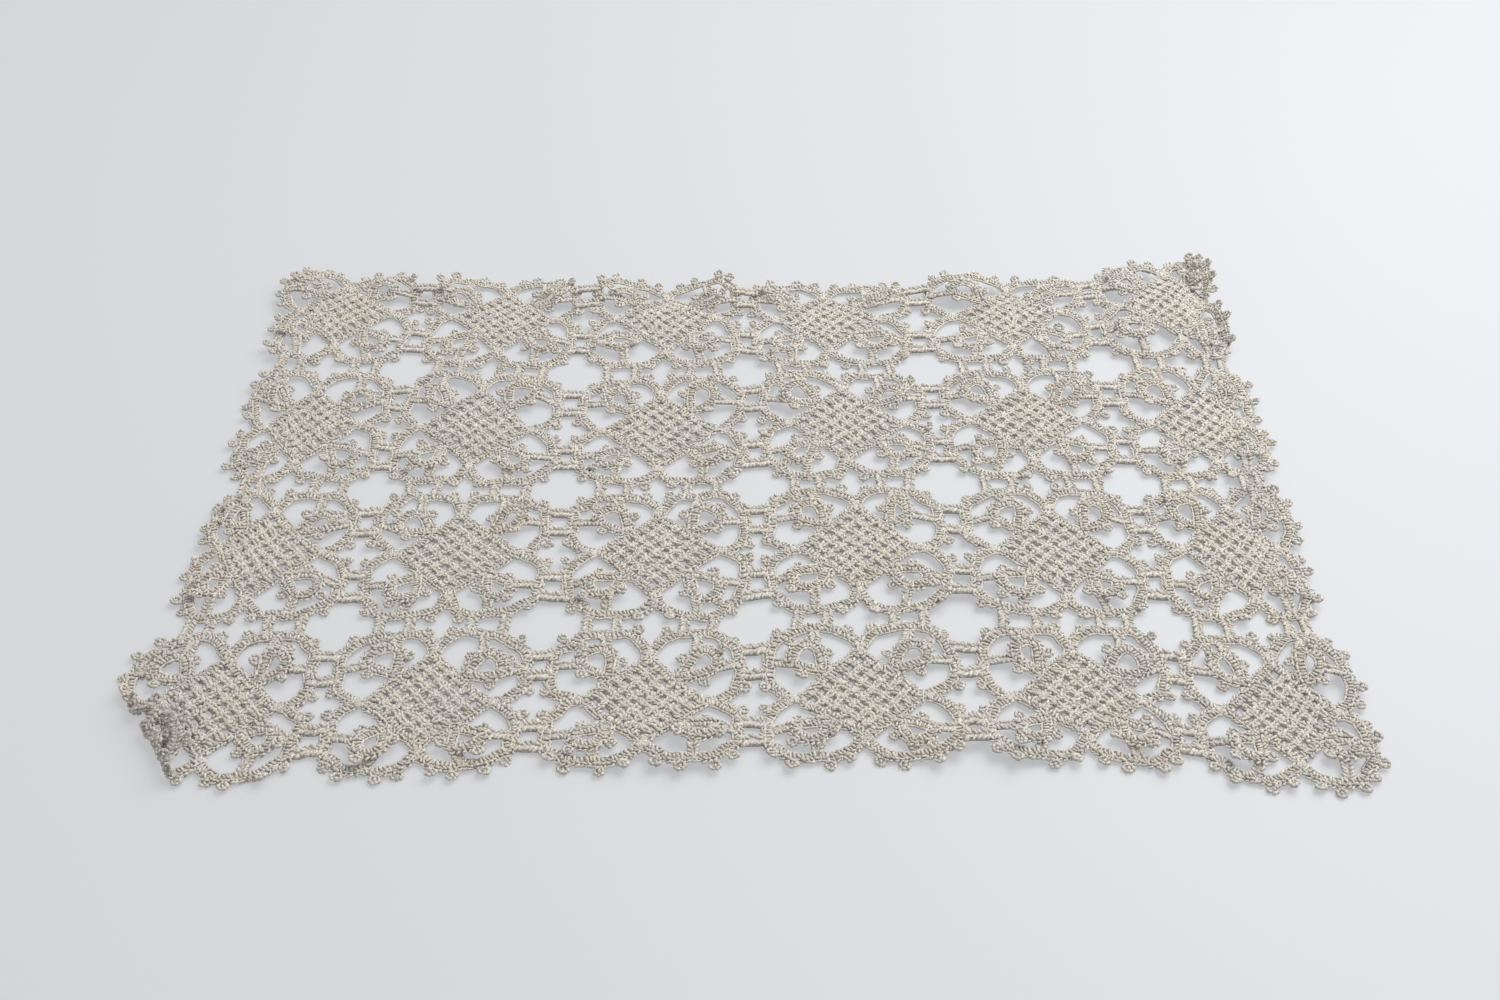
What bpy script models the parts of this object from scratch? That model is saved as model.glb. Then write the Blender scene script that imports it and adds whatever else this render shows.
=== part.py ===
"""A crochet doily: 24 square lace motifs in one cloth, lying a little uneven on a table.

The flat cloth is charted first, in pitches: its rim with the picots, and its larger gaps. The chart is
then triangulated, given its thickness, and laid: pulled a little out of square, lifted at its rim,
curled over at the front left corner and turned up at the back right corner.
+X runs along the long side, +Y to the back, and the underside rests on z = 0.
"""

import math

import bpy
import numpy as np
from mathutils import Vector
from mathutils.geometry import delaunay_2d_cdt

# Driving dimensions, in metres
PITCH = 0.067            # from one motif's centre to the next
COLUMNS = 6              # motifs across, along X
ROWS = 4                 # motifs deep, along Y
THICKNESS = 0.0019       # of the crocheted cloth

# The rim of one side of a motif, in pitches: (name, along the side from its middle, out from the centre)
SIDE_RIM = [
    ("notch between arches", 0.000, 0.362),
    ("first picot foot", 0.038, 0.425),
    ("first picot tip", 0.045, 0.488),
    ("first picot tip", 0.082, 0.496),
    ("arch between picots", 0.118, 0.458),
    ("second picot tip", 0.146, 0.524),
    ("second picot tip", 0.183, 0.522),
    ("second picot foot", 0.200, 0.458),
    ("third picot foot", 0.288, 0.464),
    ("third picot tip", 0.306, 0.516),
    ("third picot tip", 0.346, 0.508),
    ("corner arch", 0.372, 0.448),
    ("corner picot tip", 0.424, 0.462),
    ("corner picot tip", 0.462, 0.424),
]
# The same rim goes on to the bar that joins the next motif, except at the doily's own corners
SEAM_RIM = [
    ("corner arch by the bar", 0.448, 0.365),
    ("bar's outer edge", 0.500, 0.340),
]

# Gaps, in pitches: (name, x, y)
# Beside each corner of the net diamond: x and y from the motif's centre, and its seven mirror images
TEARDROP_GAP = [
    ("by the diamond's corner", 0.030, 0.322),
    ("under the arch", 0.100, 0.401),
    ("under the arch's end", 0.196, 0.412),
    ("leaf's shoulder", 0.203, 0.322),
    ("leaf's side picot", 0.142, 0.290),
    ("leaf's root", 0.126, 0.196),
]
# Where four motifs meet: a quarter of the cross, from the crossing of the seams
STAR_GAP = [
    ("arm's end", 0.158, 0.042),
    ("corner picot", 0.066, 0.066),
    ("arm's end", 0.042, 0.158),
]
# In the middle of a seam: a quarter of it, x along the seam
SEAM_GAP = [
    ("by the bar", 0.140, 0.000),
    ("first picot", 0.056, 0.034),
    ("by the notch", 0.000, 0.122),
]
# Between the two bars of a seam: a quarter of it, x along the seam
OVAL_GAP = [
    ("by the bar", 0.050, 0.000),
    ("by the arch's end", 0.026, 0.058),
]
OVAL_CENTRE = 0.240      # of the oval gap, from the middle of its seam

# How far the cloth lies to the right of its even place, in pitches, a row for each row of motifs:
# (row, left rim, the six motifs' centres from left to right, right rim)
SHIFT_RIGHT = [
    ("front row", 0.030, 0.028, -0.003, 0.007, 0.013, 0.018, -0.053, -0.165),
    ("second row", 0.200, 0.030, 0.019, 0.036, 0.069, 0.051, -0.041, -0.205),
    ("third row", 0.185, 0.073, -0.010, 0.002, 0.023, 0.019, 0.003, -0.170),
    ("back row", 0.165, 0.066, 0.038, 0.000, -0.062, 0.035, 0.021, -0.130),
]
# How far it lies behind its even place, in pitches, a row for each column of motifs:
# (column, front rim, the four motifs' centres from front to back, back rim)
SHIFT_BACK = [
    ("left column", 0.010, -0.033, -0.018, -0.029, 0.020, -0.100),
    ("second column", 0.055, 0.003, -0.027, -0.054, -0.050, -0.145),
    ("third column", 0.100, -0.003, -0.018, -0.071, -0.050, -0.215),
    ("fourth column", 0.127, 0.035, 0.023, 0.000, -0.055, -0.180),
    ("fifth column", 0.133, 0.035, -0.009, 0.019, -0.010, -0.150),
    ("right column", -0.015, -0.067, -0.003, -0.012, 0.060, 0.010),
]
# Where the cloth rises, x, y and reach in pitches and height in metres: (where, x, y, reach, height)
LIFTS = [
    ("back left corner", -2.85, 1.90, 0.26, 0.0045),
    ("back rim, first seam", -1.97, 1.95, 0.17, 0.0055),
    ("back rim, second seam", -0.92, 1.95, 0.18, 0.0068),
    ("back rim, third seam", -0.12, 1.95, 0.17, 0.0070),
    ("back rim, fifth motif", 1.20, 1.95, 0.22, 0.0050),
    ("back right motif", 2.50, 1.70, 0.42, 0.0040),
    ("left rim, third seam", -2.93, 1.02, 0.17, 0.0035),
    ("left rim, second motif", -2.85, -0.40, 0.22, 0.0026),
    ("second column, third row", -1.60, 0.75, 0.26, 0.0024),
    ("middle, third seam", 0.05, 0.95, 0.26, 0.0022),
    ("right rim, second seam", 2.90, -0.05, 0.20, 0.0030),
    ("right rim, front motif", 2.85, -1.35, 0.22, 0.0024),
    ("front rim, third motif", -0.35, -1.90, 0.20, 0.0020),
    ("front rim, fourth seam", 1.02, -1.92, 0.18, 0.0030),
    ("second row, fourth column", 0.90, -0.75, 0.26, 0.0018),
]
# Soft waves over the whole cloth: (waves per pitch along x, along y, phase, height in metres)
WAVES = [
    (0.43, 0.31, 0.6, 0.0009),
    (-0.29, 0.52, 2.1, 0.0008),
    (0.97, -0.78, 4.0, 0.0004),
]
WAVE_FLOOR = 0.0007      # waves below this height lie flat on the table

# Bends: a strip past a straight line turns up round a bar. In pitches: where the line passes (x, y), and
# which way is past it, in degrees from +X. The radius is the underside's, in metres, and the turn is in
# degrees.
BENDS = [
    ("front left corner, curled over", -2.743, -1.648, 211.4, 0.0030, 165.0),
    ("back right corner, turned up", 2.810, 1.490, 13.4, 0.0070, 60.0),
]
BEND_STEPS = 6           # creases that carry a bend's curve
CREASE_REACH = 0.62      # half length of a crease, in pitches

BOX_MIDDLE = (-0.00335, -0.00017)  # of the laid cloth, in metres, before it is centred on the origin

COTTON = (0.66, 0.61, 0.53, 1.0)
ROUGHNESS = 0.9
MERGE = 1e-4             # points nearer than this, in pitches, are one


def clear_scene():
    for old in list(bpy.data.objects):
        bpy.data.objects.remove(old, do_unlink=True)


def cotton_material():
    """The thread: a dull, unbleached cotton."""
    material = bpy.data.materials.new("ecru_cotton")
    material.use_nodes = True
    surface = material.node_tree.nodes["Principled BSDF"]
    surface.inputs["Base Color"].default_value = COTTON
    surface.inputs["Roughness"].default_value = ROUGHNESS
    surface.inputs["Metallic"].default_value = 0.0
    return material


def turned(x, y, quarter_turns):
    """A point turned about the origin by right angles, counter-clockwise."""
    for _ in range(quarter_turns % 4):
        x, y = -y, x
    return x, y


def motif_centre(column, row):
    """Column 0 is at the left and row 0 at the front."""
    return column - (COLUMNS - 1) / 2, row - (ROWS - 1) / 2


def side_points(centre, facing, first, last):
    """One motif's rim on its side that faces 'facing' right angles from +X, counter-clockwise.

    first and last say whether that end of the side is one of the doily's corners.
    """
    start = SIDE_RIM[1:-1] if first else SIDE_RIM[1:] + SEAM_RIM[:-1]
    end = SIDE_RIM if last else SIDE_RIM + SEAM_RIM
    walk = [(-along, out) for _, along, out in reversed(start)]
    walk += [(along, out) for _, along, out in end]
    points = []
    for along, out in walk:
        x, y = turned(out, along, facing)
        points.append((centre[0] + x, centre[1] + y))
    return points


def rim():
    """The doily's outline, counter-clockwise from the front left corner."""
    sides = [
        (3, [(column, 0) for column in range(COLUMNS)]),
        (0, [(COLUMNS - 1, row) for row in range(ROWS)]),
        (1, [(column, ROWS - 1) for column in reversed(range(COLUMNS))]),
        (2, [(0, row) for row in reversed(range(ROWS))]),
    ]
    points = []
    for facing, motifs in sides:
        for place, motif in enumerate(motifs):
            ends = (place == 0, place == len(motifs) - 1)
            points += side_points(motif_centre(*motif), facing, *ends)
    return points


def teardrop_gaps(column, row):
    """The eight gaps between the net diamond, the leaves and the ring of one motif."""
    centre = motif_centre(column, row)
    gaps = []
    for quarter_turns in range(4):
        for mirror in (1, -1):
            corners = [turned(mirror * x, y, quarter_turns) for _, x, y in TEARDROP_GAP]
            gaps.append([(centre[0] + x, centre[1] + y) for x, y in corners])
    return gaps


def cross_gap(centre, quarter, quarter_turns=0):
    """A gap with two mirror planes, from a quarter of it that runs from its x axis to its y axis."""
    upper = [(x, y) for _, x, y in quarter]
    upper += [(-x, y) for x, y in reversed(upper) if x > 0]
    whole = upper + [(-x, -y) for x, y in upper if y > 0]
    corners = [turned(x, y, quarter_turns) for x, y in whole]
    return [(centre[0] + x, centre[1] + y) for x, y in corners]


def seams():
    """Middles of the inner seams, with the right angles from +X to the seam's own direction."""
    upright = [(column - COLUMNS / 2, row - (ROWS - 1) / 2, 1)
               for column in range(1, COLUMNS) for row in range(ROWS)]
    level = [(column - (COLUMNS - 1) / 2, row - ROWS / 2, 0)
             for column in range(COLUMNS) for row in range(1, ROWS)]
    return upright + level


def seam_gaps():
    """The long gap in the middle of each seam, and the wider oval ones, on the seams along X."""
    gaps = []
    for x, y, quarter_turns in seams():
        gaps.append(cross_gap((x, y), SEAM_GAP, quarter_turns))
        if quarter_turns == 0:
            for side in (1, -1):
                gaps.append(cross_gap((x + side * OVAL_CENTRE, y), OVAL_GAP))
    return gaps


def star_gaps():
    """The cross-shaped gap where four motifs meet."""
    crossings = [(column - COLUMNS / 2, row - ROWS / 2)
                 for column in range(1, COLUMNS) for row in range(1, ROWS)]
    return [cross_gap(crossing, STAR_GAP) for crossing in crossings]


def all_gaps():
    gaps = star_gaps() + seam_gaps()
    for row in range(ROWS):
        for column in range(COLUMNS):
            gaps += teardrop_gaps(column, row)
    return gaps


def bend_frame(bend):
    """The bend's outward direction, its line's distance along it, its radius in pitches and its turn."""
    _, x, y, heading, radius, turn = bend
    outward = (math.cos(math.radians(heading)), math.sin(math.radians(heading)))
    distance = x * outward[0] + y * outward[1]
    return outward, distance, radius / PITCH, math.radians(turn)


def creases():
    """Straight lines on the flat cloth that carry the curve of each bend."""
    lines = []
    for bend in BENDS:
        outward, _, radius, turn = bend_frame(bend)
        for step in range(BEND_STEPS + 1):
            past = radius * turn * step / BEND_STEPS
            x = bend[1] + past * outward[0]
            y = bend[2] + past * outward[1]
            ends = [(x - side * CREASE_REACH * outward[1], y + side * CREASE_REACH * outward[0])
                    for side in (-1, 1)]
            lines.append(ends)
    return lines


def inside_cloth(points, loops):
    """Which points lie in the cloth, by counting how many loop edges lie to their right."""
    starts = np.concatenate([np.array(loop) for loop in loops])
    ends = np.concatenate([np.roll(np.array(loop), -1, axis=0) for loop in loops])
    across = (starts[:, 1] > points[:, 1, None]) != (ends[:, 1] > points[:, 1, None])
    rise = ends[:, 1] - starts[:, 1]
    rise[rise == 0] = 1.0
    share = (points[:, 1, None] - starts[:, 1]) / rise
    meeting = starts[:, 0] + share * (ends[:, 0] - starts[:, 0])
    return (across & (meeting > points[:, 0, None])).sum(axis=1) % 2 == 1


def triangulated(loops, lines):
    """Triangles of the flat cloth, between the rim and the gaps."""
    points = []
    edges = []
    for loop in loops:
        first = len(points)
        points += loop
        edges += [(first + i, first + (i + 1) % len(loop)) for i in range(len(loop))]
    for line in lines:
        edges.append((len(points), len(points) + 1))
        points += line
    flat = [Vector(point) for point in points]
    placed, _, faces = delaunay_2d_cdt(flat, edges, [], 0, MERGE)[:3]
    placed = np.array([tuple(point) for point in placed])
    faces = np.array(faces)
    faces = faces[inside_cloth(placed[faces].mean(axis=1), loops)]
    used, faces = np.unique(faces, return_inverse=True)
    return placed[used], faces.reshape(-1, 3)


def nearness(x, y, at_x, at_y, reach):
    return math.exp(-((x - at_x) ** 2 + (y - at_y) ** 2) / (2 * reach ** 2))


def eased(values, places, place):
    """A value read between the places that hold values, level at each of them."""
    if place <= places[0]:
        return values[0]
    for low, high, before, after in zip(places, places[1:], values, values[1:]):
        if place < high:
            share = (place - low) / (high - low)
            return before + (after - before) * share * share * (3 - 2 * share)
    return values[-1]


def motif_places(count):
    """Where the middles of a row of motifs lie, from the row's own middle, in pitches."""
    return [place - (count - 1) / 2 for place in range(count)]


def table_shift(table, along, across, along_count, across_count):
    """A shift from a table whose rows go across and whose columns go along, rims included."""
    places = [-along_count / 2] + motif_places(along_count) + [along_count / 2]
    by_row = [eased(row[1:], places, along) for row in table]
    return eased(by_row, motif_places(across_count), across)


def pulled(x, y):
    """The shift in the plane of a point of the flat cloth, in pitches."""
    shift_x = table_shift(SHIFT_RIGHT, x, y, COLUMNS, ROWS)
    shift_y = table_shift(SHIFT_BACK, y, x, ROWS, COLUMNS)
    return shift_x, shift_y


def rise(x, y):
    """The height of the cloth's underside over the table, in metres, before the bends."""
    waves = sum(height * math.sin(2 * math.pi * (a * x + b * y) + phase) for a, b, phase, height in WAVES)
    lifts = sum(height * nearness(x, y, px, py, reach) for _, px, py, reach, height in LIFTS)
    return max(0.0, waves + lifts - WAVE_FLOOR)


def bent(x, y, height):
    """A point of the flat cloth, in pitches, with the bends made. height is over the underside, in metres."""
    z = height / PITCH
    for bend in BENDS:
        outward, distance, radius, turn = bend_frame(bend)
        past = x * outward[0] + y * outward[1] - distance
        if past <= 0:
            continue
        angle = min(past / radius, turn)
        straight = past - angle * radius
        out = (radius - z) * math.sin(angle) + straight * math.cos(angle)
        x += (out - past) * outward[0]
        y += (out - past) * outward[1]
        z = radius - (radius - z) * math.cos(angle) + straight * math.sin(angle)
    return x, y, z


def laid(x, y, height):
    """Where a point of the flat cloth lies, in metres."""
    shift_x, shift_y = pulled(x, y)
    bent_x, bent_y, bent_z = bent(x, y, height)
    return (
        PITCH * (bent_x + shift_x) - BOX_MIDDLE[0],
        PITCH * (bent_y + shift_y) - BOX_MIDDLE[1],
        PITCH * bent_z + rise(x, y),
    )


def cloth_mesh(points, faces):
    """The closed body between the laid underside and the laid top."""
    count = len(points)
    body = [laid(x, y, 0.0) for x, y in points]
    body += [laid(x, y, THICKNESS) for x, y in points]
    sides = {}
    for a, b, c in faces.tolist():
        for edge in ((a, b), (b, c), (c, a)):
            sides[edge] = True
    walls = [(a, b, b + count, a + count) for a, b in sides if (b, a) not in sides]
    under = [(c, b, a) for a, b, c in faces.tolist()]
    over = [(a + count, b + count, c + count) for a, b, c in faces.tolist()]
    mesh = bpy.data.meshes.new("doily")
    mesh.from_pydata(body, [], under + over + walls)
    return mesh


def build_doily():
    points, faces = triangulated([rim()] + all_gaps(), creases())
    mesh = cloth_mesh(points, faces)
    mesh.materials.append(cotton_material())
    doily = bpy.data.objects.new("doily", mesh)
    bpy.context.scene.collection.objects.link(doily)
    return doily


clear_scene()
build_doily()
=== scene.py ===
"""The crochet doily, dressed: the thread of each stitch of its 24 motifs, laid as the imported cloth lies.

The pattern is charted flat. Chart points are (x, y, height): x and y in pitches, from the doily's middle
or from a motif's centre, and the height over the cloth's underside in metres.
"""
import math

import bpy
import numpy as np
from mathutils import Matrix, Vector


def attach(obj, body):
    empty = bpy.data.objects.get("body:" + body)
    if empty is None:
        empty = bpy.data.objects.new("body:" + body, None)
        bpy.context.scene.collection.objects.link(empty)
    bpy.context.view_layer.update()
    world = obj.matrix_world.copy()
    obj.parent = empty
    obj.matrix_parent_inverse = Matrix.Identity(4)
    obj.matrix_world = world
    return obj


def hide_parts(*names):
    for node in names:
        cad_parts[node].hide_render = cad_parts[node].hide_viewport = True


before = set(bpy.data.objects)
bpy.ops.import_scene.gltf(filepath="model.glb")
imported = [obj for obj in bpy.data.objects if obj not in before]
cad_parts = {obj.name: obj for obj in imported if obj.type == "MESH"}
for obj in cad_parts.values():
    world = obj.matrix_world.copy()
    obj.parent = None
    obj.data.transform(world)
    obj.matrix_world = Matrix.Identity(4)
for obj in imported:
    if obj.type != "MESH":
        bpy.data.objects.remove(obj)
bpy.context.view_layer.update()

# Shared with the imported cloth
PITCH = 0.067            # of the motifs, in metres
COLUMNS = 6
ROWS = 4
BOX_MIDDLE = (-0.00335, -0.00017)  # of the cloth as it lies, in metres from the pattern's middle

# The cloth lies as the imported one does, but its waves and its back right corner are lower, and the middle of
# its second row and the right end of its back row lie a little further left, as in the photo.
# Shifts to the right, in pitches: (row, at its left end, at each of its motifs, at its right end)
SHIFT_RIGHT = [
    ("front row", 0.030, 0.028, -0.003, 0.007, 0.013, 0.018, -0.053, -0.165),
    ("second row", 0.200, 0.030, 0.019, 0.030, 0.040, 0.045, -0.041, -0.205),
    ("third row", 0.185, 0.073, -0.010, 0.002, 0.023, 0.019, 0.003, -0.170),
    ("back row", 0.165, 0.066, 0.038, 0.000, -0.062, 0.035, 0.008, -0.175),
]
# Shifts to the back, in pitches: (column, at its front end, at each of its motifs, at its back end)
SHIFT_BACK = [
    ("left column", 0.010, -0.033, -0.018, -0.029, 0.020, -0.100),
    ("second column", 0.055, 0.003, -0.027, -0.054, -0.050, -0.145),
    ("third column", 0.100, -0.003, -0.018, -0.071, -0.050, -0.215),
    ("fourth column", 0.127, 0.035, 0.023, 0.000, -0.055, -0.180),
    ("fifth column", 0.133, 0.035, -0.009, 0.019, -0.010, -0.150),
    ("right column", -0.015, -0.067, -0.003, -0.012, 0.060, 0.010),
]
# Lifted places: (name, x, y and reach in pitches, height in metres)
LIFTS = [
    ("back left corner", -2.85, 1.90, 0.26, 0.0045),
    ("back rim, first seam", -1.97, 1.95, 0.17, 0.0055),
    ("back rim, second seam", -0.92, 1.95, 0.18, 0.0068),
    ("back rim, third seam", -0.12, 1.95, 0.17, 0.0070),
    ("back rim, fifth motif", 1.20, 1.95, 0.22, 0.0050),
    ("back right motif", 2.50, 1.70, 0.42, 0.0040),
    ("left rim, third seam", -2.93, 1.02, 0.17, 0.0035),
    ("left rim, second motif", -2.85, -0.40, 0.22, 0.0026),
    ("second column, third row", -1.60, 0.75, 0.26, 0.0024),
    ("middle, third seam", 0.05, 0.95, 0.26, 0.0022),
    ("right rim, second seam", 2.90, -0.05, 0.20, 0.0030),
    ("right rim, front motif", 2.85, -1.35, 0.22, 0.0024),
    ("front rim, third motif", -0.35, -1.90, 0.20, 0.0020),
    ("front rim, fourth seam", 1.02, -1.92, 0.18, 0.0030),
    ("second row, fourth column", 0.90, -0.75, 0.26, 0.0018),
]
# Low waves all over: (waves per pitch along x, along y, phase, height in metres)
WAVES = [
    (0.43, 0.31, 0.6, 0.0003),
    (-0.29, 0.52, 2.1, 0.0003),
    (0.97, -0.78, 4.0, 0.0002),
]
WAVE_FLOOR = 0.0002      # how far the waves are lowered, so that some of the cloth lies flat
# Turned corners: (name, x and y of the crease in pitches, heading in degrees, radius in metres, turn in
# degrees)
BENDS = [
    ("front left corner, curled over", -2.743, -1.648, 211.4, 0.0030, 165.0),
    ("back right corner, turned up", 2.800, 1.490, 13.4, 0.0070, 35.0),
]

# Small unevenness of the whole cloth: (waves per pitch along x, along y, phase, size in pitches)
WANDER_X = [(0.9, 1.3, 0.4, 0.0060), (-1.7, 0.8, 2.2, 0.0045), (2.9, 2.3, 5.1, 0.0040)]
WANDER_Y = [(1.2, -0.7, 1.9, 0.0060), (0.6, 1.9, 3.3, 0.0045), (-2.4, 3.1, 0.8, 0.0040)]

STITCH = 0.0013          # one stitch along a band, in metres
MIDDLE = 0.00090         # height of a band's middle over the underside
PROBE_UP = (0.0, 0.0, 0.0005)      # chart step that shows which way the cloth's upper side faces
PROBE_OUT = 0.01         # length of a chart step that shows where a heading goes, in pitches
# Bands, in metres: (half width, half height)
BAND = (0.00178, 0.00056)
LEAF_BAND = (0.00196, 0.00060)
BAR = (0.00184, 0.00062)
SIDE_BAR = (0.00240, 0.00078)      # across the seams that run from front to back
STRAND = (0.00120, 0.00056)
# Rows of stitch legs on a band: (share of its half width, share of its half height, angle from its length
# in degrees, half length and half width in metres)
POSTS = [(-0.32, 1.08, 77.0, 0.00124, 0.00052)]
RIM = [(-0.98, 0.55, -4.0, 0.00108, 0.00050)]
CHAIN = [(0.44, 1.15, 26.0, 0.00104, 0.00048), (0.96, 0.52, -30.0, 0.00104, 0.00051)]
BAR_ROWS = [(-0.58, 0.78, 46.0, 0.00112, 0.00058), (0.58, 0.78, -46.0, 0.00112, 0.00058)]
SIDE_BAR_ROWS = [(-0.50, 0.80, 46.0, 0.00145, 0.00072), (0.50, 0.80, -46.0, 0.00145, 0.00072)]
STRAND_ROWS = [(-0.50, 0.88, -24.0, 0.00104, 0.00058), (0.50, 0.88, 24.0, 0.00104, 0.00058)]
# The filling inside a band: (share of the half width, share of the half height)
CORE = [(0.90, -0.05), (0.45, 0.80), (-0.45, 0.80), (-0.90, -0.05), (0.0, -0.95)]
CORE_PAINTED_SHADE = 0.86         # of the filling: painted shade, as if the threads over it shaded it
CORE_STEP = 2.0 * STITCH           # from one ring of its points to the next
STRAND_CORE = [(1.40, 0.15), (0.0, 0.92), (-1.40, 0.15), (0.0, -0.9)]
# Painted light: the net's filling is painted lighter than the bands', to lift the shade in its cells
STRAND_CORE_PAINTED_LIGHT = 1.06
# A bead, which is one leg of a stitch or one knob: (place along its half length, share of its half width)
BEAD_RINGS = [(-0.56, 0.96), (0.56, 0.96)]
BEAD_SIDES = 4
# Painted light and shade: it is painted lightest along its top, and darker down its sides and at its ends,
# where others lie against it
BEAD_PAINTED_LIGHT_AND_SHADE = np.array([0.90] + 2 * [0.91, 1.05, 0.91, 0.84] + [0.90])
TONE_SPREAD = 0.06       # between one bead and another
# How unevenly the legs of stitches lie, as standard deviations
LEG_ALONG = 0.13         # in stitches
LEG_ACROSS = 0.00013     # in metres
LEG_OVER = 0.00009       # in metres
LEG_TURN = 13            # in degrees
LEG_SIZE = 0.13          # as a share
RIM_UNEVEN = 0.4         # share of this that the cord along a band's inner side has
BENT_MOTIFS = [(0, 0), (5, 3)]     # (column, row) of those whose underside shows

# The ring round a motif, from the joint above the net's corner to the motif's diagonal: (x, y) in pitches
RING = [
    ("joint", 0.000, 0.306),
    ("arch", 0.015, 0.345),
    ("arch", 0.057, 0.401),
    ("arch", 0.112, 0.431),
    ("arch", 0.170, 0.438),
    ("leaf bar's joint", 0.225, 0.430),
    ("corner arch", 0.282, 0.431),
    ("corner arch", 0.334, 0.412),
    ("corner", 0.371, 0.371),
]
# Picots on the ring in the same eighth: (x, y) of the foot on the ring's middle, outward lean in degrees
RING_PICOTS = [
    ("first", 0.070, 0.410, 6.0),
    ("second", 0.165, 0.436, 0.0),
    ("third", 0.318, 0.421, -12.0),
]
CORNER_PICOT = (0.371, 0.371)
INNER_CORNER_SIZE = 0.9  # of a corner picot that is not at the doily's rim
RING_UNEVEN = 0.0060     # standard deviation of a point of the ring, in pitches
# Where the ring joins the net's corner, in pitches
JOINT = 0.306            # from the motif's centre
JOINT_HALF = 0.008       # half width of its two rows of knots
JOINT_STEP = 0.010       # from one knot to the next
BAR_PLACES = (0.158, 0.306)        # of the two bars on each half of an inner seam
BAR_LINE = (0.432, 0.466, 0.500, 0.534, 0.568)     # points along a bar, from one ring to the next
BAR_UNEVEN = 0.003

CELL = 0.0635            # of the net, in pitches
CELLS = 6                # of the net, along each side
STRAND_STITCHES = 3      # chain stitches along a side of one cell
STRAND_WIDTHS = (0.90, 1.12)       # least and most, as shares of the strand's width
STRAND_CORE_WIDTHS = (0.90, 1.15)
NET_UNEVEN = 0.0055
NET_LIFT = 0.0001        # over the bands' middle, in metres
# The net's border, in pitches: from the motif's centre to its middle, and its points along one side
BORDER = 0.197
BORDER_SIDE = (-0.168, -0.085, 0.0, 0.085, 0.168)
BORDER_CORNER = 0.006    # how much further out its corners are
BORDER_UNEVEN = 0.0025

# Knots: (height over the chart's points in metres, headings of its legs in degrees)
NET_KNOT = (0.00056, (66, 114))
JOINT_KNOT = (0.00040, (60, 100))
KNOT_HALF = 0.00056      # half width of a leg, in metres
KNOT_LONG = 1.8          # its length over its width
KNOT_TURN = 14           # standard deviation of its heading, in degrees
KNOT_SIZE = 0.15         # of its size, as a share
KNOT_OVER = 0.00012      # of its height, in metres

# A leaf's loop from its root to its tip, in pitches: (place, along the leaf, half width)
LEAF = [
    ("root", 0.000, 0.000),
    ("side", 0.046, 0.032),
    ("side", 0.094, 0.056),
    ("shoulder", 0.140, 0.063),
    ("tip", 0.177, 0.040),
    ("tip", 0.188, 0.000),
]
LEAF_ROOT = 0.234        # from the motif's centre, on its diagonal
# Picots on a leaf: (name, along and across the leaf, and the way out of it, along and across)
LEAF_PICOTS = [
    ("tip", 0.188, 0.000, 1.00, 0.0),
    ("left side", 0.078, 0.050, -0.25, 1.0),
    ("right side", 0.078, -0.050, -0.25, -1.0),
]
LEAF_SHOULDER = (0.132, 0.066)     # where a bar leaves it: (along, across)
LEAF_BAR_JOINT = (0.225, 0.425)    # where that bar meets the ring: (x, y)
LEAF_OVER = 0.0002       # height of its root over the bands' middle, in metres
LEAF_LIFTS = (0.0003, 0.0022)      # least and most that the rest stands higher
LEAF_RISE = (0.15, 1.5)  # how it comes up to that: (place along the leaf, power)
# How the leaves differ: least and most as shares, or standard deviations
LEAF_WIDTHS = (0.92, 1.22)
LEAF_LENGTHS = (0.92, 1.05)
LEAF_SWING = 11          # in degrees
LEAF_SKEW = 0.08

# A picot's loop of knobs, in metres
PICOT_OUT = 0.00128      # half length of the loop
PICOT_WIDE = 0.00142     # half width of the loop
PICOT_FOOT = 0.00310     # from a band's middle to the middle of a picot on it
PICOT_REACH = 0.45       # share of that distance that goes with the picot's size
PICOT_KNOBS = 7
KNOB = 0.00068           # half width of a knob on the loop
KNOB_LONG = 1.25         # its length over its width
KNOB_RISE = 18           # how steeply it rises along the loop, in degrees
# Knobs inside the loop and on its neck: (shares of the half length and of the half width)
INNER_KNOBS = np.array([(0.15, 0.10), (-0.95, 0.38), (-1.05, -0.40)])
INNER_KNOB_SIZE = 0.9
INNER_KNOB_LONG = 1.4
INNER_KNOB_OVER = 0.00018
# How the picots differ, as standard deviations
PICOT_TILT = (6, 12)     # mean and deviation of the angle up from the cloth, in degrees
PICOT_LEAST_TILT = -4
PICOT_LEAN = 9           # sideways, in degrees
PICOT_SIZE = 0.08        # as a share
KNOB_PLACE = 0.10        # along the loop, as a share of the knobs' spacing
KNOB_OVER = 0.00016      # in metres
KNOB_TURN = 14           # in degrees
KNOB_SIZE = 0.12         # as a share
INNER_KNOB_UNEVEN = 0.00012        # in metres
INNER_KNOB_TURN = 40     # in degrees

# Cotton, as places on a noise and colours: the speckle of the thread, and faint wide patches on the cloth
SPECKLE = [
    (0.32, (0.515, 0.479, 0.428, 1)),
    (0.50, (0.598, 0.561, 0.506, 1)),
    (0.66, (0.662, 0.625, 0.570, 1)),
]
PATCHES = [
    (0.35, (0.975, 0.980, 0.985, 1)),
    (0.50, (1.0, 1.0, 1.0, 1)),
    (0.66, (1.0, 0.985, 0.955, 1)),
]
# The table's top, and the light of a white room that it returns
TABLE_HALF = 3.0
TABLE_TONES = [(0.215, 0.221, 0.228, 1), (0.225, 0.231, 0.238, 1)]
TABLE_GLOW = (0.965, 0.975, 1.0, 1)
TABLE_GLOW_STRENGTH = 0.41
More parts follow.
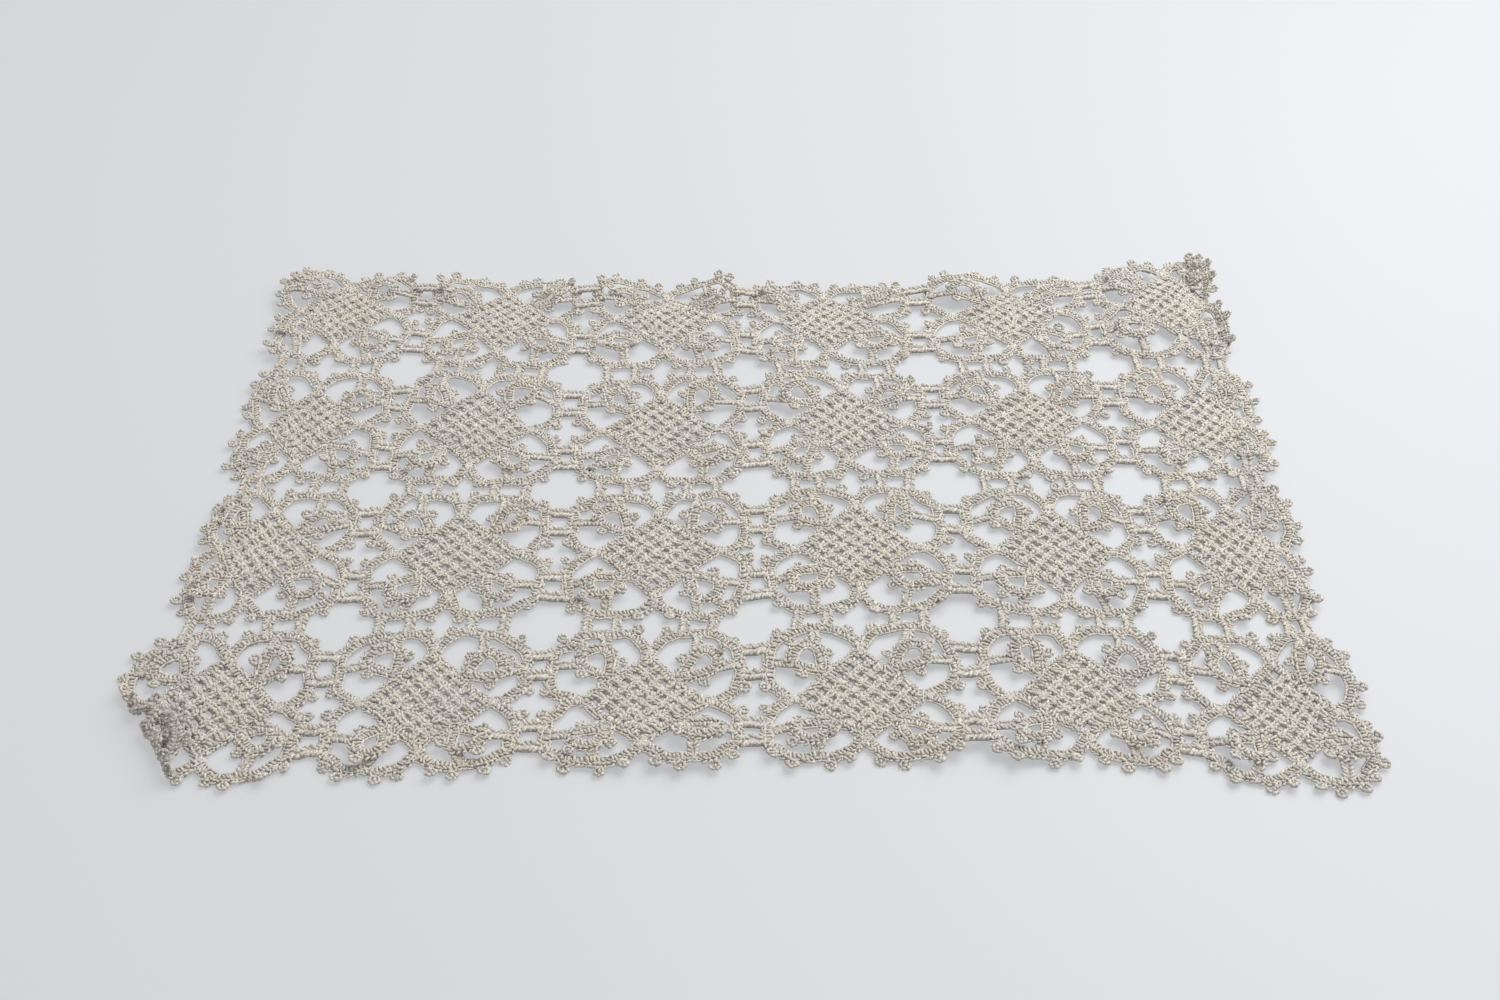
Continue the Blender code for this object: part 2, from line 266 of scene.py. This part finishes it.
# The camera, as fitted to the photo's rows and columns of motifs
PHOTO_WIDTH = 1500.0     # in pixels
FOCAL_LENGTH = 1640.0    # in pixels
SENSOR_WIDTH = 36.0      # in millimetres
EYE = (0.00302, -0.42943, 0.39003)
EYE_BELOW_LEVEL = 42.7   # in degrees

rng = np.random.default_rng(24)


def spot(places, place):
    """The step of 'places' that holds each place, and how far along it, eased."""
    places = np.asarray(places, float)
    place = np.clip(place, places[0], places[-1])
    index = np.clip(np.searchsorted(places, place, side="right") - 1, 0, len(places) - 2)
    share = (place - places[index]) / (places[index + 1] - places[index])
    return index, share * share * (3 - 2 * share)


def motif_places(count):
    """The middles of so many motifs, in pitches from the doily's middle."""
    return [place - (count - 1) / 2 for place in range(count)]


def table_shift(table, along, across, along_count, across_count):
    """The shift that a table gives at chart places. Its rows run along, one for each place across."""
    values = np.array([row[1:] for row in table])
    places = [-along_count / 2] + motif_places(along_count) + [along_count / 2]
    column, share = spot(places, along)
    by_row = values[:, column] * (1 - share) + values[:, column + 1] * share
    row, share = spot(motif_places(across_count), across)
    each = np.arange(len(row))
    return by_row[row, each] * (1 - share) + by_row[row + 1, each] * share


def rise(x, y):
    """How high the cloth's underside lies over the table, in metres."""
    height = np.full(len(x), -WAVE_FLOOR)
    for a, b, phase, size in WAVES:
        height += size * np.sin(2 * math.pi * (a * x + b * y) + phase)
    for _, at_x, at_y, reach, size in LIFTS:
        height += size * np.exp(-((x - at_x) ** 2 + (y - at_y) ** 2) / (2 * reach ** 2))
    return np.maximum(height, 0.0)


def bent(x, y, z):
    """Chart points, all three ways in pitches, with the corners turned up or over."""
    for _, at_x, at_y, heading, radius, turn in BENDS:
        way_x = math.cos(math.radians(heading))
        way_y = math.sin(math.radians(heading))
        radius = radius / PITCH
        past = x * way_x + y * way_y - (at_x * way_x + at_y * way_y)
        angle = np.clip(past / radius, 0.0, math.radians(turn))
        straight = past - angle * radius
        out = (radius - z) * np.sin(angle) + straight * np.cos(angle)
        lifted = radius - (radius - z) * np.cos(angle) + straight * np.sin(angle)
        on = past > 0
        x = np.where(on, x + (out - past) * way_x, x)
        y = np.where(on, y + (out - past) * way_y, y)
        z = np.where(on, lifted, z)
    return x, y, z


def wander(table, x, y):
    """A small smooth shift, in pitches."""
    return sum(size * np.sin(2 * math.pi * (a * x + b * y) + phase) for a, b, phase, size in table)


def laid(chart):
    """Where chart points lie, in metres."""
    x, y, height = np.asarray(chart, float).T
    shift_x = table_shift(SHIFT_RIGHT, x, y, COLUMNS, ROWS) + wander(WANDER_X, x, y)
    shift_y = table_shift(SHIFT_BACK, y, x, ROWS, COLUMNS) + wander(WANDER_Y, x, y)
    bent_x, bent_y, bent_z = bent(x, y, height / PITCH)
    return np.stack([
        PITCH * (bent_x + shift_x) - BOX_MIDDLE[0],
        PITCH * (bent_y + shift_y) - BOX_MIDDLE[1],
        PITCH * bent_z + rise(x, y),
    ], axis=1)


def unit(vectors):
    return vectors / np.maximum(np.linalg.norm(vectors, axis=-1, keepdims=True), 1e-12)


def smooth(points, closed, spacing=0.008):
    """A curve through chart points, as points that lie at most 'spacing' pitches apart."""
    points = np.asarray(points, float)
    count = len(points)
    curve = []
    for i in range(count if closed else count - 1):
        if closed:
            p = [points[(i + k) % count] for k in (-1, 0, 1, 2)]
        else:
            p = [points[min(max(i + k, 0), count - 1)] for k in (-1, 0, 1, 2)]
        steps = max(2, math.ceil(np.linalg.norm((p[2] - p[1])[:2]) / spacing))
        t = (np.arange(steps) / steps)[:, None]
        curve.append(0.5 * (2 * p[1] + (p[2] - p[0]) * t + (2 * p[0] - 5 * p[1] + 4 * p[2] - p[3]) * t ** 2
                            + (3 * p[1] - p[0] - 3 * p[2] + p[3]) * t ** 3))
    if not closed:
        curve.append(points[-1:])
    return np.concatenate(curve)


class Strip:
    """The middle line of a band, laid, with its directions at each point."""

    def __init__(self, chart, closed=False):
        chart = smooth(chart, closed)
        if closed:
            chart = np.concatenate([chart, chart[:1]])
        centre = laid(chart)
        up = unit(laid(chart + PROBE_UP) - centre)
        along = np.gradient(centre, axis=0)
        if closed:
            along[0] = along[-1] = centre[1] - centre[-2]
        along = unit(along)
        side = unit(np.cross(along, up))
        self.closed = closed
        self.at = np.concatenate([[0.0], np.cumsum(np.linalg.norm(np.diff(centre, axis=0), axis=1))])
        self.length = self.at[-1]
        self.stitches = max(2, round(self.length / STITCH))
        self.columns = np.concatenate([centre, side, np.cross(side, along), along], axis=1)

    def read(self, place):
        """The middle at lengths along the strip, and the ways to its side, up and along."""
        place = place % self.length if self.closed else np.clip(place, 0.0, self.length)
        read = np.stack([np.interp(place, self.at, column) for column in self.columns.T], axis=1)
        return read[:, :3], unit(read[:, 3:6]), unit(read[:, 6:9]), unit(read[:, 9:])


class Piece:
    """Collects the vertices and faces of one mesh."""

    def __init__(self):
        self.points = []
        self.tones = []
        self.faces = {}
        self.count = 0

    def add(self, points, tones, *faces):
        for group in faces:
            if len(group):
                self.faces.setdefault(group.shape[1], []).append(group + self.count)
        self.points.append(points)
        self.tones.append(np.broadcast_to(tones, (len(points),)))
        self.count += len(points)

    def mesh(self, name):
        points = np.concatenate(self.points)
        groups = [np.concatenate(group) for group in self.faces.values()]
        corners = np.concatenate([group.ravel() for group in groups])
        sizes = np.concatenate([np.full(len(group), group.shape[1]) for group in groups])
        starts = np.concatenate([[0], np.cumsum(sizes)[:-1]])
        mesh = bpy.data.meshes.new(name)
        mesh.vertices.add(len(points))
        mesh.vertices.foreach_set("co", points.astype(np.float32).ravel())
        mesh.loops.add(len(corners))
        mesh.loops.foreach_set("vertex_index", corners.astype(np.int32))
        mesh.polygons.add(len(sizes))
        mesh.polygons.foreach_set("loop_start", starts.astype(np.int32))
        mesh.update(calc_edges=True)
        mesh.shade_smooth()
        # Each point's tone: the stitch's own random tone, times painted shade and painted light
        tone = mesh.attributes.new("thread_tone_and_painted_shading", "FLOAT", "POINT")
        tone.data.foreach_set("value", np.concatenate(self.tones).astype(np.float32))
        return mesh

    def placed(self, name, material):
        """The piece as an object of the doily, in cotton."""
        mesh = self.mesh(name)
        mesh.materials.append(material)
        made = bpy.data.objects.new(name, mesh)
        bpy.context.scene.collection.objects.link(made)
        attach(made, "root")
        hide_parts("doily")
        print(name, "triangles", sum(len(p.vertices) - 2 for p in mesh.polygons))
        return made


def loft(piece, ring, closed, tone):
    """A skin over rings of points, with its ends closed."""
    count, sides = ring.shape[:2]
    index = np.arange(count * sides).reshape(count, sides)
    following = np.roll(index, -1, axis=0) if closed else index[1:]
    here = index if closed else index[:-1]
    quads = np.stack([here, following, np.roll(following, -1, axis=1), np.roll(here, -1, axis=1)], axis=-1)
    caps = [] if closed else [index[:1], index[-1:, ::-1]]
    piece.add(ring.reshape(-1, 3), tone, quads.reshape(-1, 4), *caps)


def bead_mesh(piece, centre, axis, up, length, width):
    """Beads, long along their axis: a point at each end, and two rings of points between them."""
    count = len(centre)
    wide = np.cross(up, axis)
    points = [centre - axis * length]
    for place_on, share in BEAD_RINGS:
        for k in range(BEAD_SIDES):
            angle = math.pi * 2 / BEAD_SIDES * k
            points.append(centre + axis * length * place_on
                          + (wide * math.cos(angle) + up * math.sin(angle)) * width * share)
    points.append(centre + axis * length)
    index = np.arange(count)[:, None]
    size = len(points)
    first = [1 + k for k in range(BEAD_SIDES)]
    second = [k + BEAD_SIDES for k in first]
    following = [(k + 1) % BEAD_SIDES for k in range(BEAD_SIDES)]
    low = [(0, first[n], first[k]) for k, n in enumerate(following)]
    high = [(size - 1, second[k], second[n]) for k, n in enumerate(following)]
    belt = [(first[k], first[n], second[n], second[k]) for k, n in enumerate(following)]
    tris = (index[:, :, None] * size + np.array(low + high)[None]).reshape(-1, 3)
    quads = (index[:, :, None] * size + np.array(belt)[None]).reshape(-1, 4)
    # Each bead's random tone, times its painted light and shade
    tones = rng.normal(1.0, TONE_SPREAD, count)[:, None] * BEAD_PAINTED_LIGHT_AND_SHADE
    piece.add(np.stack(points, axis=1).reshape(-1, 3), tones.ravel(), tris, quads)


def core(piece, strip, size, shape, spacing, tone):
    """The filling inside a band or strand."""
    half_width, half_height = size
    rings = max(2, round(strip.length / spacing))
    place = np.arange(rings + (not strip.closed)) * strip.length / rings
    centre, side, up, _ = strip.read(place)
    ring = [centre + side * half_width * out + up * half_height * over for out, over in shape]
    loft(piece, np.stack(ring, axis=1), strip.closed, tone)


def stitch_rows(piece, strip, count, size, rows, way=1, uneven=1.0):
    """Rows of stitch legs along a strip, on its top (way 1) or its underside (way -1)."""
    half_width, half_height = size
    for across, above, slant, half_length, half_thick in rows:
        place = (np.arange(count) + 0.5 + rng.normal(0, LEG_ALONG * uneven, count)) * strip.length / count
        centre, side, up, along = strip.read(place)
        aside = half_width * across + rng.normal(0, LEG_ACROSS * uneven, count)
        centre = centre + side * aside[:, None]
        over = half_height * above * way + rng.normal(0, LEG_OVER * uneven, count)
        centre = centre + up * over[:, None]
        turn = np.radians(rng.normal(slant, LEG_TURN * uneven, count))[:, None]
        axis = along * np.cos(turn) + side * np.sin(turn)
        length = half_length * (1 + rng.normal(0, LEG_SIZE, count))[:, None]
        width = half_thick * (1 + rng.normal(0, LEG_SIZE, count))[:, None]
        bead_mesh(piece, centre, axis, up, length, width)


def worked(piece, strip, size, rows, under=False):
    """A worked band: its filling, and the stitches over it, or under it too."""
    # The filling is darkened with painted shade
    core(piece, strip, size, CORE, CORE_STEP, CORE_PAINTED_SHADE)
    stitch_rows(piece, strip, strip.stitches, size, rows)
    if under:
        stitch_rows(piece, strip, strip.stitches, size, BAR_ROWS, -1)


def edged(piece, edging, strip, size, under=False, rim=True):
    """A band with the posts of its stitches on its inner side and their chain along its outer side."""
    worked(piece, strip, size, POSTS)
    if under:
        stitch_rows(edging, strip, strip.stitches, size, BAR_ROWS, -1)
    stitch_rows(edging, strip, strip.stitches, size, CHAIN)
    if rim:
        stitch_rows(piece, strip, strip.stitches, size, RIM, uneven=RIM_UNEVEN)


def picot(edging, chart, heading, size=1.0):
    """A picot: a small knobbly loop that stands out from a band, towards a heading in degrees."""
    way = np.array([math.cos(math.radians(heading)), math.sin(math.radians(heading)), 0.0])
    base = np.array([chart])
    centre = laid(base)
    up = unit(laid(base + PROBE_UP) - centre)
    out = unit(laid(base + PROBE_OUT * way) - centre)
    across = unit(np.cross(up, out))
    tilt = math.radians(max(rng.normal(*PICOT_TILT), PICOT_LEAST_TILT))
    lean = math.radians(rng.normal(0, PICOT_LEAN))
    out = unit(out + math.tan(lean) * across)
    out, up = out * math.cos(tilt) + up * math.sin(tilt), up * math.cos(tilt) - out * math.sin(tilt)
    across = np.cross(up, out)
    count = PICOT_KNOBS
    turn = 2 * math.pi * (np.arange(count) + rng.uniform() + rng.normal(0, KNOB_PLACE, count)) / count
    long = size * PICOT_OUT * (1 + rng.normal(0, PICOT_SIZE))
    wide = size * PICOT_WIDE * (1 + rng.normal(0, PICOT_SIZE))
    middle = centre + out * PICOT_FOOT * (1 - PICOT_REACH + PICOT_REACH * size)
    points = middle + out * long * np.cos(turn)[:, None] + across * wide * np.sin(turn)[:, None]
    points = points + up * rng.normal(0, KNOB_OVER, count)[:, None]
    axis = across * np.cos(turn)[:, None] - out * np.sin(turn)[:, None]
    slant = np.radians(rng.normal(KNOB_RISE, KNOB_TURN, count))[:, None]
    axis = unit(axis * np.cos(slant) + up * np.sin(slant))
    width = KNOB * size * (1 + rng.normal(0, KNOB_SIZE, count))[:, None]
    bead_mesh(edging, points, axis, unit(np.cross(axis, np.cross(up, axis))), width * KNOB_LONG, width)
    inner = middle + INNER_KNOBS[:, :1] * out * long + INNER_KNOBS[:, 1:] * across * wide
    inner = inner + up * rng.normal(INNER_KNOB_OVER, INNER_KNOB_UNEVEN, len(inner))[:, None]
    width = KNOB * size * np.full((len(inner), 1), INNER_KNOB_SIZE)
    turn = np.radians(rng.normal(0, INNER_KNOB_TURN, len(inner)))[:, None]
    axis = out * np.cos(turn) + across * np.sin(turn)
    bead_mesh(edging, inner, axis, np.repeat(up, len(inner), axis=0), width * INNER_KNOB_LONG, width)


def knots(piece, chart, knot):
    """Small knots of thread at chart points: a leg of a stitch for each of a knot's headings."""
    height, headings = knot
    place = laid(chart)
    up = unit(laid(chart + PROBE_UP) - place)
    count = len(chart)
    for turn in headings:
        heading = np.radians(rng.normal(turn, KNOT_TURN, count))
        along = np.stack([np.cos(heading), np.sin(heading), np.zeros(count)], axis=1)
        along = unit(along - up * (along * up).sum(axis=1, keepdims=True))
        width = KNOT_HALF * (1 + rng.normal(0, KNOT_SIZE, count))[:, None]
        over = rng.normal(height, KNOT_OVER, count)[:, None]
        bead_mesh(piece, place + up * over, along, up, width * KNOT_LONG, width)


def turned(points, quarter_turns):
    """Chart points turned about the motif's centre by right angles, counter-clockwise."""
    points = np.array(points, float)
    for _ in range(quarter_turns % 4):
        points[:, :2] = np.stack([-points[:, 1], points[:, 0]], axis=1)
    return points


def turned_all(points):
    """Chart points on each of a motif's four sides."""
    return np.concatenate([turned(points, k) for k in range(4)])


def raised(points):
    """Chart points at the height of the bands' middle, from (x, y) pairs."""
    return np.array([(x, y, MIDDLE) for x, y in points])


def on_side(x, y, quarter_turns, centre):
    """A chart point of one of a motif's four sides, from its place (x, y) on the back side."""
    return turned(raised([(x, y)]), quarter_turns)[0] + centre


def diamond(u, v):
    """A point of the net, whose sides lie at 45 degrees."""
    return (u - v) / math.sqrt(2), (u + v) / math.sqrt(2)


def handed(chart):
    """Above zero where a closed chart line runs counter-clockwise."""
    x, y = chart[:, 0], chart[:, 1]
    return float((x * np.roll(y, -1) - y * np.roll(x, -1)).sum())


def loop_strip(chart):
    """The strip of a closed band, with its chain on the outside whichever way its chart line runs."""
    return Strip(chart if handed(chart) > 0 else chart[::-1], closed=True)


def ring_chart():
    """The line of a motif's ring, about its centre."""
    eighth = [(x, y) for _, x, y in RING]
    quarter = [(-x, y) for x, y in reversed(eighth)][:-1] + eighth[:-1]
    chart = turned_all(raised(quarter[::-1]))
    chart[:, :2] += rng.normal(0, RING_UNEVEN, (len(chart), 2))
    return chart


def border_chart():
    """The line of the net's border, about the motif's centre."""
    side = [(BORDER, v) for v in BORDER_SIDE]
    corner = [(BORDER + BORDER_CORNER, BORDER + BORDER_CORNER)]
    chart = turned_all(raised([diamond(u, v) for u, v in side + corner]))
    chart[:, :2] += rng.normal(0, BORDER_UNEVEN, (len(chart), 2))
    return chart


def net(piece, centre):
    """The strands of the net, with a knot at each crossing."""
    half = CELLS // 2
    count = CELLS + 1
    lines = (np.arange(count) - half) * CELL
    u, v = np.meshgrid(lines, lines, indexing="ij")
    uneven = rng.normal(0, NET_UNEVEN, (2, count, count))
    x, y = diamond(u + uneven[0], v + uneven[1])
    nodes = np.stack([x + centre[0], y + centre[1], np.full_like(x, MIDDLE + NET_LIFT)], axis=-1)
    half_width, half_height = STRAND
    for line in range(1, count - 1):
        for nodes_on_line in (nodes[line], nodes[:, line]):
            strip = Strip(nodes_on_line)
            size = (half_width * rng.uniform(*STRAND_CORE_WIDTHS), half_height)
            # the filling, lightened with painted light
            core(piece, strip, size, STRAND_CORE, CELL * PITCH / STRAND_STITCHES, STRAND_CORE_PAINTED_LIGHT)
            size = (half_width * rng.uniform(*STRAND_WIDTHS), half_height)
            stitch_rows(piece, strip, CELLS * STRAND_STITCHES, size, STRAND_ROWS)
    knots(piece, nodes[1:-1, 1:-1].reshape(-1, 3), NET_KNOT)


def leaf(piece, edging, centre, quarter_turns, under):
    """A leaf's loop with its picots, and the two bars that hold it to the ring."""
    lift = rng.uniform(*LEAF_LIFTS)
    swing = math.radians(rng.normal(0, LEAF_SWING))
    wide = rng.uniform(*LEAF_WIDTHS)
    skew = rng.normal(0, LEAF_SKEW)
    long = rng.uniform(*LEAF_LENGTHS)
    full_rise, power = LEAF_RISE

    def place(along, across):
        """A chart point of the leaf on the right of the back side."""
        across = across * wide + skew * along
        along = along * long
        height = MIDDLE + LEAF_OVER + lift * min(1.0, (along / full_rise) ** power)
        out = LEAF_ROOT + along * math.cos(swing) - across * math.sin(swing)
        aside = along * math.sin(swing) + across * math.cos(swing)
        x, y = diamond(aside, out)
        return -x, y, height

    def chart(points):
        return turned([place(*point) for point in points], quarter_turns) + centre

    right = [(along, -across) for _, along, across in LEAF]
    left = [(along, across) for _, along, across in reversed(LEAF[1:-1])]
    edged(piece, edging, loop_strip(chart(right + left)), LEAF_BAND, under)
    for _, along, across, out_along, out_across in LEAF_PICOTS:
        outside = (along + PROBE_OUT * out_along, across + PROBE_OUT * out_across)
        foot, toward = chart([(along, across), outside])
        way = toward - foot
        picot(edging, foot, math.degrees(math.atan2(way[1], way[0])))
    for mirror in (1, -1):
        shoulder = chart([(LEAF_SHOULDER[0], mirror * LEAF_SHOULDER[1])])[0]
        joint = on_side(*LEAF_BAR_JOINT[::mirror], quarter_turns, centre)
        worked(piece, Strip([shoulder, (shoulder + joint) / 2, joint]), BAR, BAR_ROWS, under)


def motif_centre(column, row):
    """The chart point in a motif's middle, on the cloth's underside."""
    return np.array([column - (COLUMNS - 1) / 2, row - (ROWS - 1) / 2, 0.0])


def at_rim(column, row, quarter_turns):
    """Whether a motif's side that faces back, left, front or right is on the doily's rim."""
    return (row == ROWS - 1, column == 0, row == 0, column == COLUMNS - 1)[quarter_turns % 4]


def motif(piece, edging, column, row):
    """One motif, without the bars to its neighbours."""
    under = (column, row) in BENT_MOTIFS
    centre = motif_centre(column, row)
    edged(piece, edging, loop_strip(ring_chart() + centre), BAND, under)
    edged(piece, edging, loop_strip(border_chart() + centre), BAND, under, rim=False)
    net(piece, centre)
    places = [(x, JOINT + JOINT_STEP * step) for step in range(-1, 3) for x in (-JOINT_HALF, JOINT_HALF)]
    knots(piece, turned_all(raised(places)) + centre, JOINT_KNOT)
    for quarter_turns in range(4):
        leaf(piece, edging, centre, quarter_turns, under)
        outer = at_rim(column, row, quarter_turns)
        next_outer = at_rim(column, row, quarter_turns - 1)
        for mirror in (1, -1):
            for name, x, y, lean in RING_PICOTS:
                if outer or name == "first":
                    foot = on_side(mirror * x, y, quarter_turns, centre)
                    picot(edging, foot, 90 + quarter_turns * 90 + mirror * lean)
        foot = on_side(*CORNER_PICOT, quarter_turns, centre)
        picot(edging, foot, 45 + quarter_turns * 90, 1.0 if outer or next_outer else INNER_CORNER_SIZE)


def seam_bars(piece, column, row):
    """The bars from a motif to the one behind it and the one to its right."""
    centre = motif_centre(column, row)
    for quarter_turns in (0, 3):
        if at_rim(column, row, quarter_turns):
            continue
        for place in BAR_PLACES:
            for mirror in (1, -1):
                bar = raised([(mirror * place, y) for y in BAR_LINE])
                bar[:, 0] += rng.normal(0, BAR_UNEVEN, len(BAR_LINE))
                size, rows = (SIDE_BAR, SIDE_BAR_ROWS) if quarter_turns else (BAR, BAR_ROWS)
                worked(piece, Strip(turned(bar, quarter_turns) + centre), size, rows)


def cotton(name):
    """Dull cotton thread: speckled, with painted shade between its plies, and with each stitch's own tone,
    painted shade and painted light.
    """
    material = bpy.data.materials.new(name)
    material.use_nodes = True
    nodes = material.node_tree.nodes
    links = material.node_tree.links
    shader = nodes["Principled BSDF"]
    place = nodes.new("ShaderNodeTexCoord")

    def noise(scale, detail, rough=0.5):
        node = nodes.new("ShaderNodeTexNoise")
        node.inputs["Scale"].default_value = scale
        node.inputs["Detail"].default_value = detail
        node.inputs["Roughness"].default_value = rough
        links.new(place.outputs["Object"], node.inputs["Vector"])
        return node

    def ramp(source, stops):
        node = nodes.new("ShaderNodeValToRGB")
        elements = node.color_ramp.elements
        elements[0].position, elements[0].color = stops[0]
        elements[1].position, elements[1].color = stops[-1]
        for position, colour in stops[1:-1]:
            elements.new(position).color = colour
        links.new(source.outputs["Fac"], node.inputs["Fac"])
        return node

    def scaled(colour, factor):
        node = nodes.new("ShaderNodeVectorMath")
        node.operation = "SCALE"
        links.new(colour, node.inputs[0])
        links.new(factor, node.inputs["Scale"])
        return node.outputs["Vector"]

    def ranged(value, to_min, to_max, from_min=0.0, from_max=1.0):
        node = nodes.new("ShaderNodeMapRange")
        node.inputs["From Min"].default_value = from_min
        node.inputs["From Max"].default_value = from_max
        node.inputs["To Min"].default_value = to_min
        node.inputs["To Max"].default_value = to_max
        links.new(value, node.inputs["Value"])
        return node.outputs["Result"]

    def bump(height, strength, distance):
        node = nodes.new("ShaderNodeBump")
        node.inputs["Strength"].default_value = strength
        node.inputs["Distance"].default_value = distance
        links.new(height, node.inputs["Height"])
        return node

    speckle = ramp(noise(scale=1100.0, detail=3.0, rough=0.6), SPECKLE)
    patches = ramp(noise(scale=55.0, detail=2.0), PATCHES)
    mixed = nodes.new("ShaderNodeMix")
    mixed.data_type = "RGBA"
    mixed.blend_type = "MULTIPLY"
    mixed.inputs["Factor"].default_value = 1.0
    links.new(speckle.outputs["Color"], mixed.inputs["A"])
    links.new(patches.outputs["Color"], mixed.inputs["B"])
    # each stitch's own tone, with painted shade and painted light
    stitch = nodes.new("ShaderNodeAttribute")
    stitch.attribute_name = "thread_tone_and_painted_shading"
    toned = scaled(mixed.outputs["Result"], stitch.outputs["Fac"])
    grains = nodes.new("ShaderNodeTexVoronoi")
    grains.inputs["Scale"].default_value = 1350.0
    links.new(place.outputs["Object"], grains.inputs["Vector"])
    # Painted shade: darker towards the edges of the grains, between the plies
    painted_ply_shade = ranged(grains.outputs["Distance"], to_min=1.02, to_max=0.86, from_min=0.35, from_max=0.75)
    links.new(scaled(toned, painted_ply_shade), shader.inputs["Base Color"])
    plies = bump(grains.outputs["Distance"], strength=0.70, distance=0.00034)
    plies.invert = True
    fibre = noise(scale=4200.0, detail=2.0, rough=0.6)
    fibres = bump(fibre.outputs["Fac"], strength=0.55, distance=0.00012)
    links.new(plies.outputs["Normal"], fibres.inputs["Normal"])
    links.new(fibres.outputs["Normal"], shader.inputs["Normal"])
    roughness = ranged(noise(scale=1800.0, detail=1.0).outputs["Fac"], to_min=0.78, to_max=0.98)
    links.new(roughness, shader.inputs["Roughness"])
    shader.inputs["Specular IOR Level"].default_value = 0.25
    shader.inputs["Sheen Weight"].default_value = 0.15
    shader.inputs["Sheen Roughness"].default_value = 0.5
    return material


def floor():
    """The plain pale table top."""
    mesh = bpy.data.meshes.new("table_top")
    corners = [(-1, -1), (1, -1), (1, 1), (-1, 1)]
    mesh.from_pydata([(x * TABLE_HALF, y * TABLE_HALF, 0) for x, y in corners], [], [(0, 1, 2, 3)])
    top = bpy.data.objects.new("table_top", mesh)
    bpy.context.scene.collection.objects.link(top)
    material = bpy.data.materials.new("pale_table")
    material.use_nodes = True
    nodes = material.node_tree.nodes
    links = material.node_tree.links
    shader = nodes["Principled BSDF"]
    grain = nodes.new("ShaderNodeTexNoise")
    grain.inputs["Scale"].default_value = 9.0
    tone = nodes.new("ShaderNodeMix")
    tone.data_type = "RGBA"
    tone.inputs["A"].default_value = TABLE_TONES[0]
    tone.inputs["B"].default_value = TABLE_TONES[1]
    links.new(grain.outputs["Fac"], tone.inputs["Factor"])
    links.new(tone.outputs["Result"], shader.inputs["Base Color"])
    shader.inputs["Roughness"].default_value = 0.55
    shader.inputs["Specular IOR Level"].default_value = 0.3
    shader.inputs["Emission Color"].default_value = TABLE_GLOW
    shader.inputs["Emission Strength"].default_value = TABLE_GLOW_STRENGTH
    mesh.materials.append(material)


def area_light(name, place, target, size, power, colour):
    """A soft light of a size in metres and a power in watts, turned to its target."""
    data = bpy.data.lights.new(name, "AREA")
    data.shape = "RECTANGLE"
    data.size, data.size_y = size
    data.energy = power
    data.color = colour
    light = bpy.data.objects.new(name, data)
    light.location = place
    light.rotation_euler = (Vector(target) - Vector(place)).to_track_quat("-Z", "Y").to_euler()
    bpy.context.scene.collection.objects.link(light)


def lighting():
    """Soft light from a white room, and from a window behind and to the right."""
    world = bpy.data.worlds.new("studio")
    bpy.context.scene.world = world
    bpy.context.scene.view_settings.view_transform = "Standard"
    world.use_nodes = True
    back = world.node_tree.nodes["Background"]
    back.inputs["Color"].default_value = (1.0, 0.995, 0.985, 1)
    back.inputs["Strength"].default_value = 0.62
    area_light("window", place=(0.48, 0.36, 0.74), target=(0, 0, 0), size=(0.9, 0.9), power=12.0,
               colour=(0.975, 0.99, 1.0))


def camera():
    """The camera, at the photo's angle."""
    data = bpy.data.cameras.new("camera")
    data.sensor_width = SENSOR_WIDTH
    data.lens = FOCAL_LENGTH / PHOTO_WIDTH * SENSOR_WIDTH
    data.clip_start = 0.01
    eye = bpy.data.objects.new("camera", data)
    eye.location = EYE
    eye.rotation_euler = (math.radians(90 - EYE_BELOW_LEVEL), 0.0, 0.0)
    bpy.context.scene.collection.objects.link(eye)
    bpy.context.scene.camera = eye


camera()
lighting()
floor()
material = cotton("ecru_cotton_thread")
for column in range(COLUMNS):
    piece = Piece()
    edging = Piece()
    for row in range(ROWS):
        motif(piece, edging, column, row)
        seam_bars(piece, column, row)
    made = piece.placed(f"column_{column + 1}", material)
    chains = edging.placed(f"edging_{column + 1}", material)
